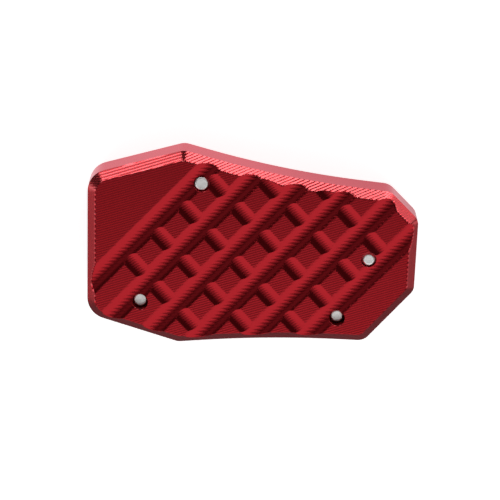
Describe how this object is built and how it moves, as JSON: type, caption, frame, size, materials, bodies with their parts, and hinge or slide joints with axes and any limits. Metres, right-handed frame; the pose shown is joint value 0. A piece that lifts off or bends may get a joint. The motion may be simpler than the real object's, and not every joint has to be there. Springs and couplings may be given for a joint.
{
  "type": "kickstand foot enlarger",
  "caption": "Motorcycle kickstand foot enlarger: a grooved, bevelled aluminium tread plate with a pocket for the stand's foot, a horseshoe clamp plate over its rim and countersunk screws.",
  "frame": {"origin": "middle of the part's box, at the clamp plate's outer face, which it lies on", "axes": "+X along the plate, +Y towards the side where the stand's leg comes out, +Z out of the grooved tread face"},
  "size_m": [0.1106, 0.0662, 0.019],
  "materials": {
    "red_anodised": "red anodised, milled with a ball-nose cutter on the tread face, satin on the walls",
    "stainless": "turned and rolled stainless steel"
  },
  "bodies": {
    "root": {"tread_plate": "red_anodised", "clamp_plate": "red_anodised", "leg_side_screws": "stainless", "heel_side_screws": "stainless"}
  },
  "joints": []
}
